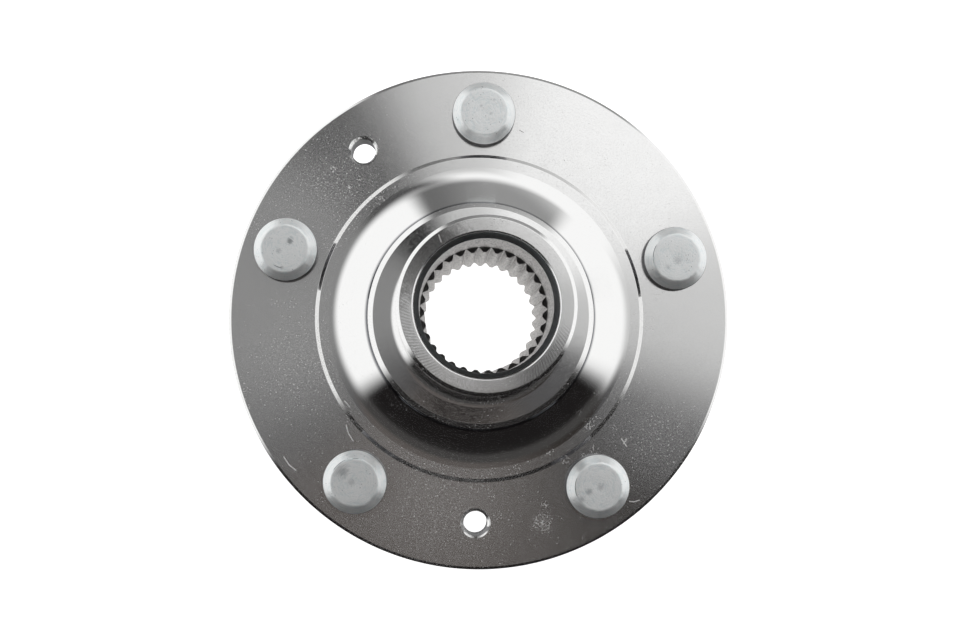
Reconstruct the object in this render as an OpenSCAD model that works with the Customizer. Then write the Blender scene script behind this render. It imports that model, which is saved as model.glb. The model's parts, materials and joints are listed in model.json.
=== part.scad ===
// Driven wheel hub with pressed-in wheel studs, in millimetres.
// +Z runs along the axle towards the bearing journal (inboard).
// Z = 0 is the outboard face that the brake disc and the wheel are clamped to.

/* [Flange] */
// Diameter of the circle that the studs and the tapped holes stand on
stud_circle_d = 114.3; // [112:0.1:118]
// Width of the flange outside that circle
flange_edge = 12.85; // [11:0.05:18]
// Thickness of the flange
flange_t = 10; // [8:0.5:14]
// Chamfer on both rims of the flange
rim_chamfer = 0.8; // [0.3:0.1:1.5]

/* [Neck between flange and bearing] */
// Height of the raised ring above the flange
ring_h = 1.2; // [0.6:0.1:2]
// Width of the flat land on the raised ring
ring_land = 2.8; // [1.5:0.1:4]
// Width of the sloping edge of the raised ring
ring_edge = 1; // [0.5:0.1:1.5]
// Slope of the cone that rises from the ring, from the flange's plane
cone_angle = 45; // [40:1:50]
// Radius of the hollow where the cone runs out into the ring
cone_foot_r = 8; // [6:0.5:9]
// Radius of the hollow where the cone turns up into the shoulder
cone_top_r = 5.8; // [4.5:0.1:6.5]

/* [Bearing seat] */
// Diameter of the shoulder that the bearing's inner ring is pressed against
shoulder_d = 61.5; // [58:0.1:64]
// Height of the shoulder above the flange
shoulder_h = 12.6; // [11.5:0.1:15]
// Chamfer round the shoulder
shoulder_chamfer = 1; // [0.5:0.1:1.5]
// Diameter of the journal that the bearing is pressed on
journal_d = 44; // [42:0.5:47]
// Length of the journal from the shoulder to its end
journal_l = 43.7; // [38:0.1:50]
// Chamfer on the end of the journal
journal_chamfer = 0.5; // [0.3:0.1:1.2]
// Fillet between the journal and the shoulder
journal_fillet = 3; // [1.5:0.1:4]

/* [Axle bore] */
// Number of spline teeth
spline_teeth = 31; // [28:1:34]
// Diameter over the tips of the spline teeth
spline_tip_d = 30.5; // [29:0.1:32]
// Depth of the spaces between the teeth
spline_depth = 1.05; // [0.8:0.05:1.2]
// Width of the flat at the bottom of a space
space_root_w = 0.3; // [0.2:0.05:0.5]
// Slope of a tooth's flank, from the middle line of its space
flank_angle = 43; // [38:1:45]
// Angle of the first space, from the X axis
spline_phase = 2.7; // [0:0.1:11]
// Radial step from the bottom of the spaces out to the smooth bore
smooth_bore_step = 0.1; // [0.05:0.05:0.5]
// Depth from the end of the journal to the spline
smooth_bore_l = 22.6; // [15:0.1:30]
// Half angle of the cones at the bore's mouth and on the tooth ends
lead_angle = 30; // [20:1:45]
// Radial width of the cone at the bore's mouth
lead_w = 1.15; // [0.8:0.05:1.6]
// Chamfer that breaks the edge round the bore's mouth
mouth_chamfer = 0.5; // [0.3:0.1:0.8]

/* [Wheel pilot and nut recess] */
// Diameter of the pilot that centres the disc and the wheel
pilot_d = 67; // [64:0.5:72]
// Length of the pilot outboard of the disc face
pilot_l = 10; // [7:0.5:14]
// Length of the sloping lead-in on the pilot's end
pilot_lead_l = 2; // [1:0.5:3]
// Slope of that lead-in, from the axis
pilot_lead_angle = 30; // [15:1:40]
// Width of the shallow relief round the pilot
relief_w = 8.5; // [4:0.5:12]
// Depth of the relief
relief_depth = 1; // [0.5:0.1:1.5]
// Diameter of the recess for the axle nut
recess_d = 52; // [46:0.5:56]
// Height of the nut's seat above the disc face
nut_seat_h = 0.5; // [0:0.1:2]
// Fillet round the nut's seat
recess_fillet = 1.5; // [1:0.1:2.5]
// Chamfer at the mouth of the recess
recess_chamfer = 1; // [0.5:0.1:2]

/* [Wheel studs] */
// How much wider than the thread the stud holes in the flange are
stud_hole_excess = 0.9; // [0.8:0.1:1.5]
// Chamfer at the outboard end of a stud hole
stud_hole_chamfer = 0.7; // [0.3:0.1:1.2]
// Clearance between the crests of a stud's serrations and its hole
press_gap = 0.02; // [0.01:0.01:0.05]
// Number of serrations round a shank
serrations = 36; // [28:1:44]
// Depth of the serrations
serration_depth = 0.3; // [0.2:0.05:0.35]
// Length of the slight taper between the serrated shank and the thread, which ends at the disc face
taper_l = 1; // [0.5:0.1:3]
// Radial step that this taper takes
taper_step = 0.08; // [0.05:0.01:0.1]
// Outside diameter of the thread, M12
thread_d = 12; // [11:0.5:12]
// Length of a stud under its head
stud_l = 43; // [36:0.5:55]
// Diameter of the plain point at a stud's end
point_d = 9.6; // [8:0.1:10]
// Length of the plain point
point_l = 2.2; // [1.2:0.1:4]
// Chamfer on the plain point
point_chamfer = 0.6; // [0.3:0.1:1]
// Diameter of a stud's head
head_d = 17.7; // [16.5:0.1:20]
// Height of a stud's head
head_h = 5.1; // [4:0.1:6.5]
// Chamfer round the top of the head
head_chamfer = 2.2; // [1:0.1:2.8]
// Room kept round a head where the raised ring comes near it
head_room = 1; // [0.5:0.1:2]
// Diameter of the shallow dimple in the head
dimple_d = 3; // [1.5:0.1:4]
// Depth of the dimple
dimple_depth = 0.35; // [0.2:0.05:0.6]

/* [Disc screw holes] */
// Minor diameter of the tapped holes, M8
screw_hole_d = 6.65; // [6:0.05:7.5]
// Chamfer at each end of a tapped hole
screw_hole_chamfer = 0.85; // [0.4:0.05:1.5]
// Angles of the tapped holes round the axle from the first stud, each one midway between two studs
screw_angles = [36, 180]; // [36:72:324]

/* [Hidden] */
$fn = 128;

// Overrun that carries a cut clear through a face
over = 0.5;
// Each stud is a node of its own, so their number is fixed
stud_count = 5;
first_stud_angle = 90;

stud_pitch_angle = 360 / stud_count;
flange_r = stud_circle_d / 2 + flange_edge;

// Heights of the hub's inboard steps
ring_z = flange_t + ring_h;
shoulder_z = flange_t + shoulder_h;
end_z = shoulder_z + journal_l;
spline_top_z = end_z - smooth_bore_l;

// The cone's flank is the common tangent of the two hollows, so the ring follows from it
top_centre = [shoulder_d / 2 + cone_top_r, shoulder_z - shoulder_chamfer];
top_tangent = top_centre - cone_top_r * [sin(cone_angle), cos(cone_angle)];
foot_tangent_z = ring_z + cone_foot_r * (1 - cos(cone_angle));
foot_tangent_r = top_tangent.x + (top_tangent.y - foot_tangent_z) / tan(cone_angle);
foot_centre = [foot_tangent_r + cone_foot_r * sin(cone_angle), ring_z + cone_foot_r];
ring_r = foot_centre.x + ring_land;

// Radii of the axle bore, each one from the step inside it
tip_r = spline_tip_d / 2;
root_r = tip_r + spline_depth;
smooth_bore_r = root_r + smooth_bore_step;
lead_r = smooth_bore_r + lead_w;

// Radii of a stud's hole, and of the crests and roots of its serrated shank
stud_hole_r = (thread_d + stud_hole_excess) / 2;
crest_r = stud_hole_r - press_gap;
serration_root_r = crest_r - serration_depth;
serrated_l = flange_t - taper_l;

// Half section of the neck and the bearing journal, carried down into the flange
module neck_section() {
    shoulder_face_r = shoulder_d / 2 - shoulder_chamfer;
    journal_r = journal_d / 2;
    fillet_centre = [journal_r + journal_fillet, shoulder_z + journal_fillet];
    sunk_edge = ring_edge * (1 + over / ring_h);
    difference() {
        polygon([
            [0, end_z],
            [journal_r - journal_chamfer, end_z],
            [journal_r, end_z - journal_chamfer],
            [journal_r, fillet_centre.y],
            fillet_centre,
            [fillet_centre.x, shoulder_z],
            [shoulder_face_r, shoulder_z],
            [shoulder_d / 2, top_centre.y],
            top_centre,
            top_tangent,
            [foot_tangent_r, foot_tangent_z],
            foot_centre,
            [foot_centre.x, ring_z],
            [ring_r, ring_z],
            [ring_r + sunk_edge, flange_t - over],
            [0, flange_t - over]
        ]);
        translate(fillet_centre) circle(r = journal_fillet);
        translate(top_centre) circle(r = cone_top_r);
        translate(foot_centre) circle(r = cone_foot_r);
    }
}

// Half section of the flange and the wheel pilot
module flange_section() {
    pilot_r = pilot_d / 2;
    polygon([
        [0, flange_t],
        [flange_r - rim_chamfer, flange_t],
        [flange_r, flange_t - rim_chamfer],
        [flange_r, rim_chamfer],
        [flange_r - rim_chamfer, 0],
        [pilot_r + relief_w, 0],
        [pilot_r + relief_w, relief_depth],
        [pilot_r, relief_depth],
        [pilot_r, pilot_lead_l - pilot_l],
        [pilot_r - pilot_lead_l * tan(pilot_lead_angle), -pilot_l],
        [0, -pilot_l]
    ]);
}

// Half section of all that is bored out of the hub, apart from the spline's spaces
module bore_section() {
    recess_r = recess_d / 2;
    mouth_z = end_z - mouth_chamfer;
    corner = [recess_r - recess_fillet, nut_seat_h - recess_fillet];
    polygon([
        [0, end_z + over],
        [lead_r + mouth_chamfer + over, end_z + over],
        [lead_r, mouth_z],
        [smooth_bore_r, mouth_z - lead_w / tan(lead_angle)],
        [smooth_bore_r, spline_top_z],
        [tip_r, spline_top_z - (smooth_bore_r - tip_r) / tan(lead_angle)],
        [tip_r, nut_seat_h + spline_depth],
        [root_r, nut_seat_h],
        [corner.x, nut_seat_h],
        corner,
        [recess_r, corner.y],
        [recess_r, recess_chamfer - pilot_l],
        [recess_r + recess_chamfer + over, -pilot_l - over],
        [0, -pilot_l - over]
    ]);
    translate(corner) circle(r = recess_fillet);
}

// One space of the spline: a vee with a narrow flat at its bottom
module spline_space() {
    inner_r = tip_r - over;
    inner_w = space_root_w / 2 + (root_r - inner_r) * tan(flank_angle);
    polygon([
        [inner_r, -inner_w],
        [root_r, -space_root_w / 2],
        [root_r, space_root_w / 2],
        [inner_r, inner_w]
    ]);
}

module spline_spaces() {
    translate([0, 0, nut_seat_h - over])
        linear_extrude(spline_top_z - nut_seat_h + over)
            for (i = [0 : spline_teeth - 1]) rotate(spline_phase + i * 360 / spline_teeth) spline_space();
}

// Puts its children on the stud circle, at an angle from the first stud
module on_stud_circle(angle) {
    rotate(first_stud_angle + angle) translate([stud_circle_d / 2, 0, 0]) children();
}

// Hole for a pressed-in stud, chamfered on the disc side only so that the head seats all round
module stud_hole() {
    mouth_r = stud_hole_r + stud_hole_chamfer + over;
    translate([0, 0, -over]) cylinder(h = flange_t + 2 * over, r = stud_hole_r);
    translate([0, 0, -over]) cylinder(h = stud_hole_chamfer + over, r1 = mouth_r, r2 = stud_hole_r);
}

// Room for a stud's head, which the raised ring and the neck keep clear of
module head_space() {
    translate([0, 0, flange_t - 2 * over]) cylinder(h = shoulder_h, r = head_d / 2 + head_room);
}

// Tapped hole through the flange at its minor diameter, chamfered at both ends
module screw_hole() {
    hole_r = screw_hole_d / 2;
    mouth_r = hole_r + screw_hole_chamfer + over;
    depth = screw_hole_chamfer + over;
    translate([0, 0, -over]) cylinder(h = flange_t + 2 * over, r = hole_r);
    translate([0, 0, flange_t - screw_hole_chamfer]) cylinder(h = depth, r1 = hole_r, r2 = mouth_r);
    translate([0, 0, -over]) cylinder(h = depth, r1 = mouth_r, r2 = hole_r);
}

// The forged and turned hub, with its bearing seat, splined bore, pilot and flange holes
module hub_flange() {
    color([0.62, 0.62, 0.61]) difference() {
        union() {
            rotate_extrude() flange_section();
            difference() {
                rotate_extrude() neck_section();
                for (i = [0 : stud_count - 1]) on_stud_circle(i * stud_pitch_angle) head_space();
            }
        }
        rotate_extrude() bore_section();
        spline_spaces();
        for (i = [0 : stud_count - 1]) on_stud_circle(i * stud_pitch_angle) stud_hole();
        for (angle = screw_angles) on_stud_circle(angle) screw_hole();
    }
}

// Outline of the serrated shank, with a crest and a root for each serration
module serrated_outline() {
    half_pitch = 180 / serrations;
    polygon([
        for (i = [0 : 2 * serrations - 1])
            let (r = i % 2 == 0 ? crest_r : serration_root_r)
                [r * cos(i * half_pitch), r * sin(i * half_pitch)]
    ]);
}

// One wheel stud, with its head on the inboard face and its thread outboard of the disc face
module wheel_stud() {
    head_r = head_d / 2;
    thread_r = thread_d / 2;
    point_r = point_d / 2;
    color([0.78, 0.79, 0.78]) translate([0, 0, flange_t]) {
        translate([0, 0, -serrated_l]) linear_extrude(serrated_l) serrated_outline();
        rotate_extrude() polygon([
            [0, head_h - dimple_depth],
            [dimple_d / 2, head_h],
            [head_r - head_chamfer, head_h],
            [head_r, head_h - head_chamfer],
            [head_r, 0],
            [thread_r + taper_step, 0],
            [thread_r + taper_step, over - serrated_l],
            [thread_r, -flange_t],
            [thread_r, thread_r - point_r + point_l - stud_l],
            [point_r, point_l - stud_l],
            [point_r, point_chamfer - stud_l],
            [point_r - point_chamfer, -stud_l],
            [0, -stud_l]
        ]);
    }
}

hub_flange();
on_stud_circle(0 * stud_pitch_angle) wheel_stud();  // wheel_stud_1
on_stud_circle(1 * stud_pitch_angle) wheel_stud();  // wheel_stud_2
on_stud_circle(2 * stud_pitch_angle) wheel_stud();  // wheel_stud_3
on_stud_circle(3 * stud_pitch_angle) wheel_stud();  // wheel_stud_4
on_stud_circle(4 * stud_pitch_angle) wheel_stud();  // wheel_stud_5
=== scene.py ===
"""Driven wheel hub with pressed-in wheel studs, seen from its bearing side."""

import json
import math

import bpy
from mathutils import Matrix, Vector
from mathutils import noise as fine_noise


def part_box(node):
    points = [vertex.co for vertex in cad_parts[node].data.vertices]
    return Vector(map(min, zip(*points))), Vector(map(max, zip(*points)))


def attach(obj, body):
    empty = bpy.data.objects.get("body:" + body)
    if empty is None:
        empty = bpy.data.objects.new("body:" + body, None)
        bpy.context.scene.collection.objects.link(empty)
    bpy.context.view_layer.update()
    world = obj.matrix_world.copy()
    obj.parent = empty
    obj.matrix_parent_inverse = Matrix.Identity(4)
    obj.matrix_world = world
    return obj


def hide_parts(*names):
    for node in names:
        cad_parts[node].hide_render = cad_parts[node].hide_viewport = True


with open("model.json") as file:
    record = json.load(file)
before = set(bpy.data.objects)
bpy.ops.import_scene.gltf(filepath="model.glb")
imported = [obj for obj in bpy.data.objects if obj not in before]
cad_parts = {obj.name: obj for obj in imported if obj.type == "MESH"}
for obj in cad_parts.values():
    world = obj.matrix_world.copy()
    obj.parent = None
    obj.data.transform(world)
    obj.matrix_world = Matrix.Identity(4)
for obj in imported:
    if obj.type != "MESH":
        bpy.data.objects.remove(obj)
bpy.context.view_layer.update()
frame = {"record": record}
bpy.ops.object.select_all(action="DESELECT")

MM = 0.001
mounts = {mount["name"]: mount for mount in frame["record"]["mounts"]}
hub_low, hub_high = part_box("hub_flange")
stud_low, stud_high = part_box("wheel_stud_1")

# Camera
# It hangs 0.4 m above the bearing side and looks almost straight down the axle, a little
# from the lower left, as the photograph was taken.
IMAGE_WIDTH = 960
IMAGE_HEIGHT = 640
SENSOR_WIDTH = 36.0
focal_px = 1429.8
flange_depth = 400.0 * MM
flange_centre_px = (479.655, 317.721)
axle_right, axle_down = 0.0311, -0.0526
camera_roll = math.radians(1.2441)
flange_face_z = 10.0 * MM

axle = Vector((axle_right, -axle_down, math.sqrt(1 - axle_right**2 - axle_down**2)))
upward = Vector((math.sin(camera_roll), math.cos(camera_roll), 0.0))
hub_y = (upward - axle * upward.dot(axle)).normalized()
hub_x = hub_y.cross(axle)
hub_to_camera = Matrix((hub_x, hub_y, axle)).transposed()
centre_right = (flange_centre_px[0] - IMAGE_WIDTH / 2) / focal_px
centre_up = (IMAGE_HEIGHT / 2 - flange_centre_px[1]) / focal_px
flange_in_camera = flange_depth * Vector((centre_right, centre_up, -1.0))
camera_to_hub = hub_to_camera.transposed()
camera_place = Vector((0.0, 0.0, flange_face_z)) - camera_to_hub @ flange_in_camera

bpy.ops.object.camera_add(location=camera_place, rotation=camera_to_hub.to_euler())
camera = bpy.context.object
camera.data.sensor_width = SENSOR_WIDTH
camera.data.lens = focal_px * SENSOR_WIDTH / IMAGE_WIDTH
bpy.context.scene.camera = camera

# Hub
# One piece of forged steel, turned all over: bearing journal, shoulder, hollow neck, flange and
# wheel pilot. It is turned here from its half section, with every edge broken a little.
SPLINE_TEETH = 31
HUB_STEPS = 12 * SPLINE_TEETH
SHARP_TURN = math.radians(20)
edge_break = 0.1 * MM

journal_r = mounts["bearing_journal"]["dims"]["r_mm"] * MM
smooth_bore_r = mounts["axle_bore"]["dims"]["r_mm"] * MM
spline_tip_r = mounts["axle_spline"]["dims"]["r_mm"] * MM
pilot_r = mounts["wheel_pilot"]["dims"]["r_mm"] * MM
recess_r = mounts["axle_nut_recess"]["dims"]["r_mm"] * MM
shoulder_z = mounts["bearing_shoulder"]["pos_m"][2]
nut_seat_z = mounts["axle_nut_seat"]["pos_m"][2]
flange_r = hub_high.x
end_z = hub_high.z
pilot_end_z = hub_low.z

journal_chamfer = 0.85 * MM
journal_fillet = 3.0 * MM
shoulder_r = 30.75 * MM
shoulder_chamfer = 1.0 * MM
shoulder_chamfer_w = 1.4 * MM
hollow_top_r = 5.8 * MM
hollow_foot_r = 8.0 * MM
neck_slope = math.radians(45)
foot_slope, top_slope = 35.0, 44.0
corner_r = 2.0 * MM
ring_z = flange_face_z + 1.2 * MM
ring_land = 2.8 * MM
ring_edge = 1.0 * MM
rim_chamfer = 0.8 * MM
relief_r = pilot_r + 8.5 * MM
relief_depth = 1.0 * MM
pilot_lead_l = 2.0 * MM
pilot_lead_angle = math.radians(30)
recess_chamfer = 1.0 * MM
recess_fillet = 1.5 * MM
spline_root_r = smooth_bore_r - 0.1 * MM
spline_top_z = end_z - 22.6 * MM
lead_angle = math.radians(30)
lead_w = 1.15 * MM
mouth_chamfer = 0.5 * MM
fillet_steps, sweep_steps = 10, 8


def arc(centre, radius, start, end, pieces):
    """Points of a round stretch of an outline, with its angles in degrees from the radius axis."""
    turns = [math.radians(start + (end - start) * i / pieces) for i in range(pieces + 1)]
    return [(centre[0] + radius * math.cos(t), centre[1] + radius * math.sin(t)) for t in turns]


def broken_edges(outline, width, closed=True):
    """The outline with each sharp corner rounded over the given width."""
    points = [Vector(point) for point in outline]
    softened = []
    for i, corner in enumerate(points):
        if not closed and i in (0, len(points) - 1):
            softened.append(corner)
            continue
        back = (points[i - 1] - corner).normalized()
        ahead = (points[(i + 1) % len(points)] - corner).normalized()
        if math.pi - back.angle(ahead) < SHARP_TURN:
            softened.append(corner)
            continue
        start, end = corner + back * width, corner + ahead * width
        softened += [start, (start + corner * 2 + end) / 4, end]
    return softened


def add_outline(name, outline, to_place):
    """Draws an outline as a chain of edges, point by point, and leaves it in edit mode."""
    bpy.ops.mesh.primitive_plane_add(size=MM, location=to_place(*outline[0]))
    bpy.context.object.name = name
    bpy.ops.object.transform_apply(location=True, rotation=False, scale=False)
    bpy.ops.object.mode_set(mode="EDIT")
    bpy.ops.mesh.merge(type="CENTER")
    for here, there in zip(outline, outline[1:]):
        step = to_place(*there) - to_place(*here)
        bpy.ops.mesh.extrude_region_move(TRANSFORM_OT_translate={"value": step})


def on_half_section(radius, height):
    return Vector((radius, 0.0, height))


MERGE_WITHIN = 0.001 * MM


def turned(name, outline, steps, centre=(0.0, 0.0)):
    """Spins a half section round an upright axis at the given centre."""
    add_outline(name, outline, on_half_section)
    bpy.ops.mesh.select_all(action="SELECT")
    bpy.ops.mesh.spin(steps=steps, angle=math.tau, center=(0, 0, 0), axis=(0, 0, 1))
    bpy.ops.mesh.select_all(action="SELECT")
    bpy.ops.mesh.remove_doubles(threshold=MERGE_WITHIN)
    bpy.ops.mesh.dissolve_degenerate(threshold=MERGE_WITHIN)
    bpy.ops.mesh.select_all(action="SELECT")
    bpy.ops.mesh.normals_make_consistent(inside=False)
    bpy.ops.transform.translate(value=(centre[0], centre[1], 0.0))
    bpy.ops.object.mode_set(mode="OBJECT")
    return bpy.context.object


# A straight slope between two hollows sets where the ring lies. The turned neck is a flatter sweep.
hollow_top = (shoulder_r + hollow_top_r, shoulder_z - shoulder_chamfer)
slope_foot_z = ring_z + hollow_foot_r * (1 - math.cos(neck_slope))
slope_top_r = hollow_top[0] - hollow_top_r * math.sin(neck_slope)
slope_top_z = hollow_top[1] - hollow_top_r * math.cos(neck_slope)
slope_foot_r = slope_top_r + (slope_top_z - slope_foot_z) / math.tan(neck_slope)
hollow_foot = (slope_foot_r + hollow_foot_r * math.sin(neck_slope), ring_z + hollow_foot_r)
ring_r = hollow_foot[0] + ring_land
corner_x = shoulder_r + corner_r * (1 - math.sin(math.radians(top_slope)))
foot_x, foot_z = arc(hollow_foot, hollow_foot_r, 270 - foot_slope, 270, 1)[0]
sweep_slope = math.radians((foot_slope + top_slope) / 2)
sweep_l = (foot_x - corner_x) / math.cos(sweep_slope)
sweep_r = sweep_l / (2 * math.sin(math.radians((top_slope - foot_slope) / 2)))
sweep_centre = (
    foot_x + sweep_r * math.sin(math.radians(foot_slope)),
    foot_z + sweep_r * math.cos(math.radians(foot_slope)),
)
corner_z = foot_z + sweep_l * math.sin(sweep_slope) + corner_r * math.cos(math.radians(top_slope))
lead_r = smooth_bore_r + lead_w
lead_l = lead_w / math.tan(lead_angle)
seat_corner = (recess_r - recess_fillet, nut_seat_z - recess_fillet)
fillet_centre = (journal_r + journal_fillet, shoulder_z + journal_fillet)
pilot_end_r = pilot_r - pilot_lead_l * math.tan(pilot_lead_angle)

hub_outline = [
    (lead_r + mouth_chamfer, end_z),
    (journal_r - journal_chamfer, end_z),
    (journal_r, end_z - journal_chamfer),
    *arc(fillet_centre, journal_fillet, 180, 270, fillet_steps),
    (shoulder_r - shoulder_chamfer_w, shoulder_z),
    (shoulder_r, shoulder_z - shoulder_chamfer),
    *arc((shoulder_r + corner_r, corner_z), corner_r, 180, 270 - top_slope, sweep_steps),
    *arc(sweep_centre, sweep_r, 270 - top_slope, 270 - foot_slope, sweep_steps)[1:],
    *arc(hollow_foot, hollow_foot_r, 270 - foot_slope, 270, fillet_steps)[1:],
    (ring_r, ring_z),
    (ring_r + ring_edge, flange_face_z),
    (flange_r - rim_chamfer, flange_face_z),
    (flange_r, flange_face_z - rim_chamfer),
    (flange_r, rim_chamfer),
    (flange_r - rim_chamfer, 0.0),
    (relief_r, 0.0),
    (relief_r, relief_depth),
    (pilot_r, relief_depth),
    (pilot_r, pilot_end_z + pilot_lead_l),
    (pilot_end_r, pilot_end_z),
    (recess_r + recess_chamfer, pilot_end_z),
    (recess_r, pilot_end_z + recess_chamfer),
    *arc(seat_corner, recess_fillet, 0, 90, sweep_steps),
    (spline_root_r, nut_seat_z),
    (spline_tip_r, nut_seat_z + spline_root_r - spline_tip_r),
    (spline_tip_r, spline_top_z - (smooth_bore_r - spline_tip_r) / math.tan(lead_angle)),
    (smooth_bore_r, spline_top_z),
    (smooth_bore_r, end_z - mouth_chamfer - lead_l),
    (lead_r, end_z - mouth_chamfer),
]
hub_outline = broken_edges(hub_outline, edge_break)
hub = turned("hub", hub_outline + hub_outline[:1], HUB_STEPS)

# Spline in the hub's bore
# Thirty-one straight teeth that the drive shaft slides into. The broach leaves a vee-shaped
# space between each two, with a narrow flat at its bottom.
space_root_w = 0.3 * MM
flank_angle = math.radians(43)
spline_phase = math.radians(2.7)
cut_over = 0.5 * MM


def extruded(name, outline, low, high):
    """A straight bar with the given outline, standing between two heights."""
    add_outline(name, outline, lambda x, y: Vector((x, y, low)))
    bpy.ops.mesh.select_all(action="SELECT")
    bpy.ops.mesh.edge_face_add()
    bpy.ops.mesh.extrude_region_move(TRANSFORM_OT_translate={"value": (0.0, 0.0, high - low)})
    bpy.ops.mesh.select_all(action="SELECT")
    bpy.ops.mesh.normals_make_consistent(inside=False)
    bpy.ops.object.mode_set(mode="OBJECT")
    return bpy.context.object


def cut_away(piece, cutter, operation="DIFFERENCE"):
    """Cuts one shape out of another, or joins them, and clears the cutter away."""
    bpy.ops.object.select_all(action="DESELECT")
    bpy.context.view_layer.objects.active = piece
    piece.select_set(True)
    bpy.ops.object.modifier_add(type="BOOLEAN")
    cut = piece.modifiers[-1]
    cut.operation, cut.solver, cut.object = operation, "EXACT", cutter
    bpy.ops.object.modifier_apply(modifier=cut.name)
    bpy.data.objects.remove(cutter)


space_inner_r = spline_tip_r - cut_over
space_inner_w = space_root_w / 2 + (spline_root_r - space_inner_r) * math.tan(flank_angle)
space_outline = [
    (space_inner_r, -space_inner_w),
    (spline_root_r, -space_root_w / 2),
    (spline_root_r, space_root_w / 2),
    (space_inner_r, space_inner_w),
]
spaces = extruded("spline_spaces", space_outline, nut_seat_z - cut_over, spline_top_z + cut_over)
pitch_angle = math.tau / SPLINE_TEETH
bpy.ops.object.mode_set(mode="EDIT")
bpy.ops.mesh.select_all(action="SELECT")
bpy.ops.mesh.spin(
    steps=SPLINE_TEETH - 1, dupli=True, angle=math.tau - pitch_angle, center=(0, 0, 0), axis=(0, 0, 1)
)
bpy.ops.object.mode_set(mode="OBJECT")
spaces.rotation_euler.z = spline_phase
bpy.ops.object.transform_apply(rotation=True)
cut_away(hub, spaces)

# Holes in the flange
# Five plain holes that the studs are pressed into, chamfered on the disc side, and two M8 tapped
# holes for the screws that hold the brake disc, chamfered on both sides.
HOLE_STEPS = 72
stud_count = mounts["wheel_studs"]["dims"]["count"]
stud_circle_r = mounts["wheel_studs"]["dims"]["pcd_mm"] / 2 * MM
first_stud_angle = math.radians(90)
stud_hole_r = 6.45 * MM
stud_hole_chamfer = 0.7 * MM
screw_hole_r = mounts["disc_screw_hole_1"]["dims"]["r_mm"] * MM
screw_thread_r = 4.0 * MM
screw_pitch = 1.25 * MM
screw_thread_flat = 0.156 * MM
screw_chamfer = 0.85 * MM
thread_slope = math.tan(math.radians(30))
THREAD_STEPS = 48


def drilled(piece, radius, centre, low_chamfer, high_chamfer):
    """Drills a hole through the flange, countersunk at its two faces."""
    outline = [
        (0.0, -cut_over),
        (radius + low_chamfer + cut_over, -cut_over),
        (radius, low_chamfer),
        (radius, flange_face_z - high_chamfer),
        (radius + high_chamfer + cut_over, flange_face_z + cut_over),
        (0.0, flange_face_z + cut_over),
    ]
    if high_chamfer == 0:
        outline[3:5] = [(radius, flange_face_z + cut_over)]
    cut_away(piece, turned("drill", outline, HOLE_STEPS, centre))


def thread_groove(name, bottom_r, bottom_w, mouth_r, pitch, low, turns, centre):
    """The winding vee-shaped groove of a thread, as a solid to cut with."""
    half_bottom = bottom_w / 2
    half_mouth = half_bottom + abs(mouth_r - bottom_r) * thread_slope
    outline = [
        (mouth_r, low - half_mouth),
        (bottom_r, low - half_bottom),
        (bottom_r, low + half_bottom),
        (mouth_r, low + half_mouth),
    ]
    add_outline(name, outline + outline[:1], on_half_section)
    bpy.ops.mesh.select_all(action="SELECT")
    bpy.ops.mesh.remove_doubles(threshold=MERGE_WITHIN)
    bpy.ops.object.mode_set(mode="OBJECT")
    bpy.ops.object.modifier_add(type="SCREW")
    screw = bpy.context.object.modifiers[-1]
    screw.axis, screw.angle, screw.screw_offset = "Z", math.tau, pitch
    screw.iterations = turns
    screw.steps = screw.render_steps = THREAD_STEPS
    screw.use_merge_vertices = False
    bpy.ops.object.modifier_apply(modifier=screw.name)
    bpy.ops.object.mode_set(mode="EDIT")
    bpy.ops.mesh.select_all(action="SELECT")
    bpy.ops.mesh.remove_doubles(threshold=MERGE_WITHIN)
    bpy.ops.mesh.fill_holes(sides=0)
    bpy.ops.mesh.select_all(action="SELECT")
    bpy.ops.mesh.normals_make_consistent(inside=False)
    bpy.ops.transform.translate(value=(centre[0], centre[1], 0.0))
    bpy.ops.object.mode_set(mode="OBJECT")
    return bpy.context.object


stud_places = []
for number in range(stud_count):
    turn = first_stud_angle + number * math.tau / stud_count
    stud_places.append((stud_circle_r * math.cos(turn), stud_circle_r * math.sin(turn)))
for place in stud_places:
    drilled(hub, stud_hole_r, place, stud_hole_chamfer, 0.0)
groove_turns = math.ceil((flange_face_z + 2 * cut_over) / screw_pitch)
for name in ("disc_screw_hole_1", "disc_screw_hole_2"):
    place = mounts[name]["pos_m"][:2]
    drilled(hub, screw_hole_r, place, screw_chamfer, screw_chamfer)
    groove = thread_groove(
        "tap", screw_thread_r, screw_thread_flat, screw_hole_r - edge_break, screw_pitch,
        -cut_over, groove_turns, place,
    )
    cut_away(hub, groove)


SMOOTH_WITHIN = math.radians(35)


def smoothed(piece):
    """Smooths the round faces and keeps the flat ones flat."""
    bpy.ops.object.select_all(action="DESELECT")
    bpy.context.view_layer.objects.active = piece
    piece.select_set(True)
    bpy.ops.object.shade_smooth_by_angle(angle=SMOOTH_WITHIN)
    bpy.ops.object.modifier_add(type="WEIGHTED_NORMAL")
    weighted = piece.modifiers[-1]
    weighted.keep_sharp = True
    bpy.ops.object.modifier_apply(modifier=weighted.name)


smoothed(hub)

# Finish of the hub
# Bare steel as it comes from the lathe: fine rings round the axle that catch the light, a little
# mottling, and small nicks and rubbed specks from handling. Painted shade darkens one side of the
# end face and the neck's inner corner.
steel_colour = (0.86, 0.86, 0.855, 1.0)
spin_marks_per_m = 2200.0
broad_marks_per_m = 420.0
marks_lean = 0.37
# Scales of the noises, and where each starts to show with how softly it does so.
mottle_per_m = 260.0
grain_per_m, grain_shows = 1700.0, (0.56, 0.12)
clumps_per_m, clumps_show = 70.0, (0.62, 0.12)
specks_per_m, specks_show = 1900.0, (0.75, 0.04)
curls_per_m, curls_show = 800.0, (0.02, 0.015)
breaks_per_m, breaks_show = 1100.0, (0.5, 0.05)
dust_per_m, dust_shows = 2500.0, (0.54, 0.08)
patches_show = (0.3, 0.2)
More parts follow.
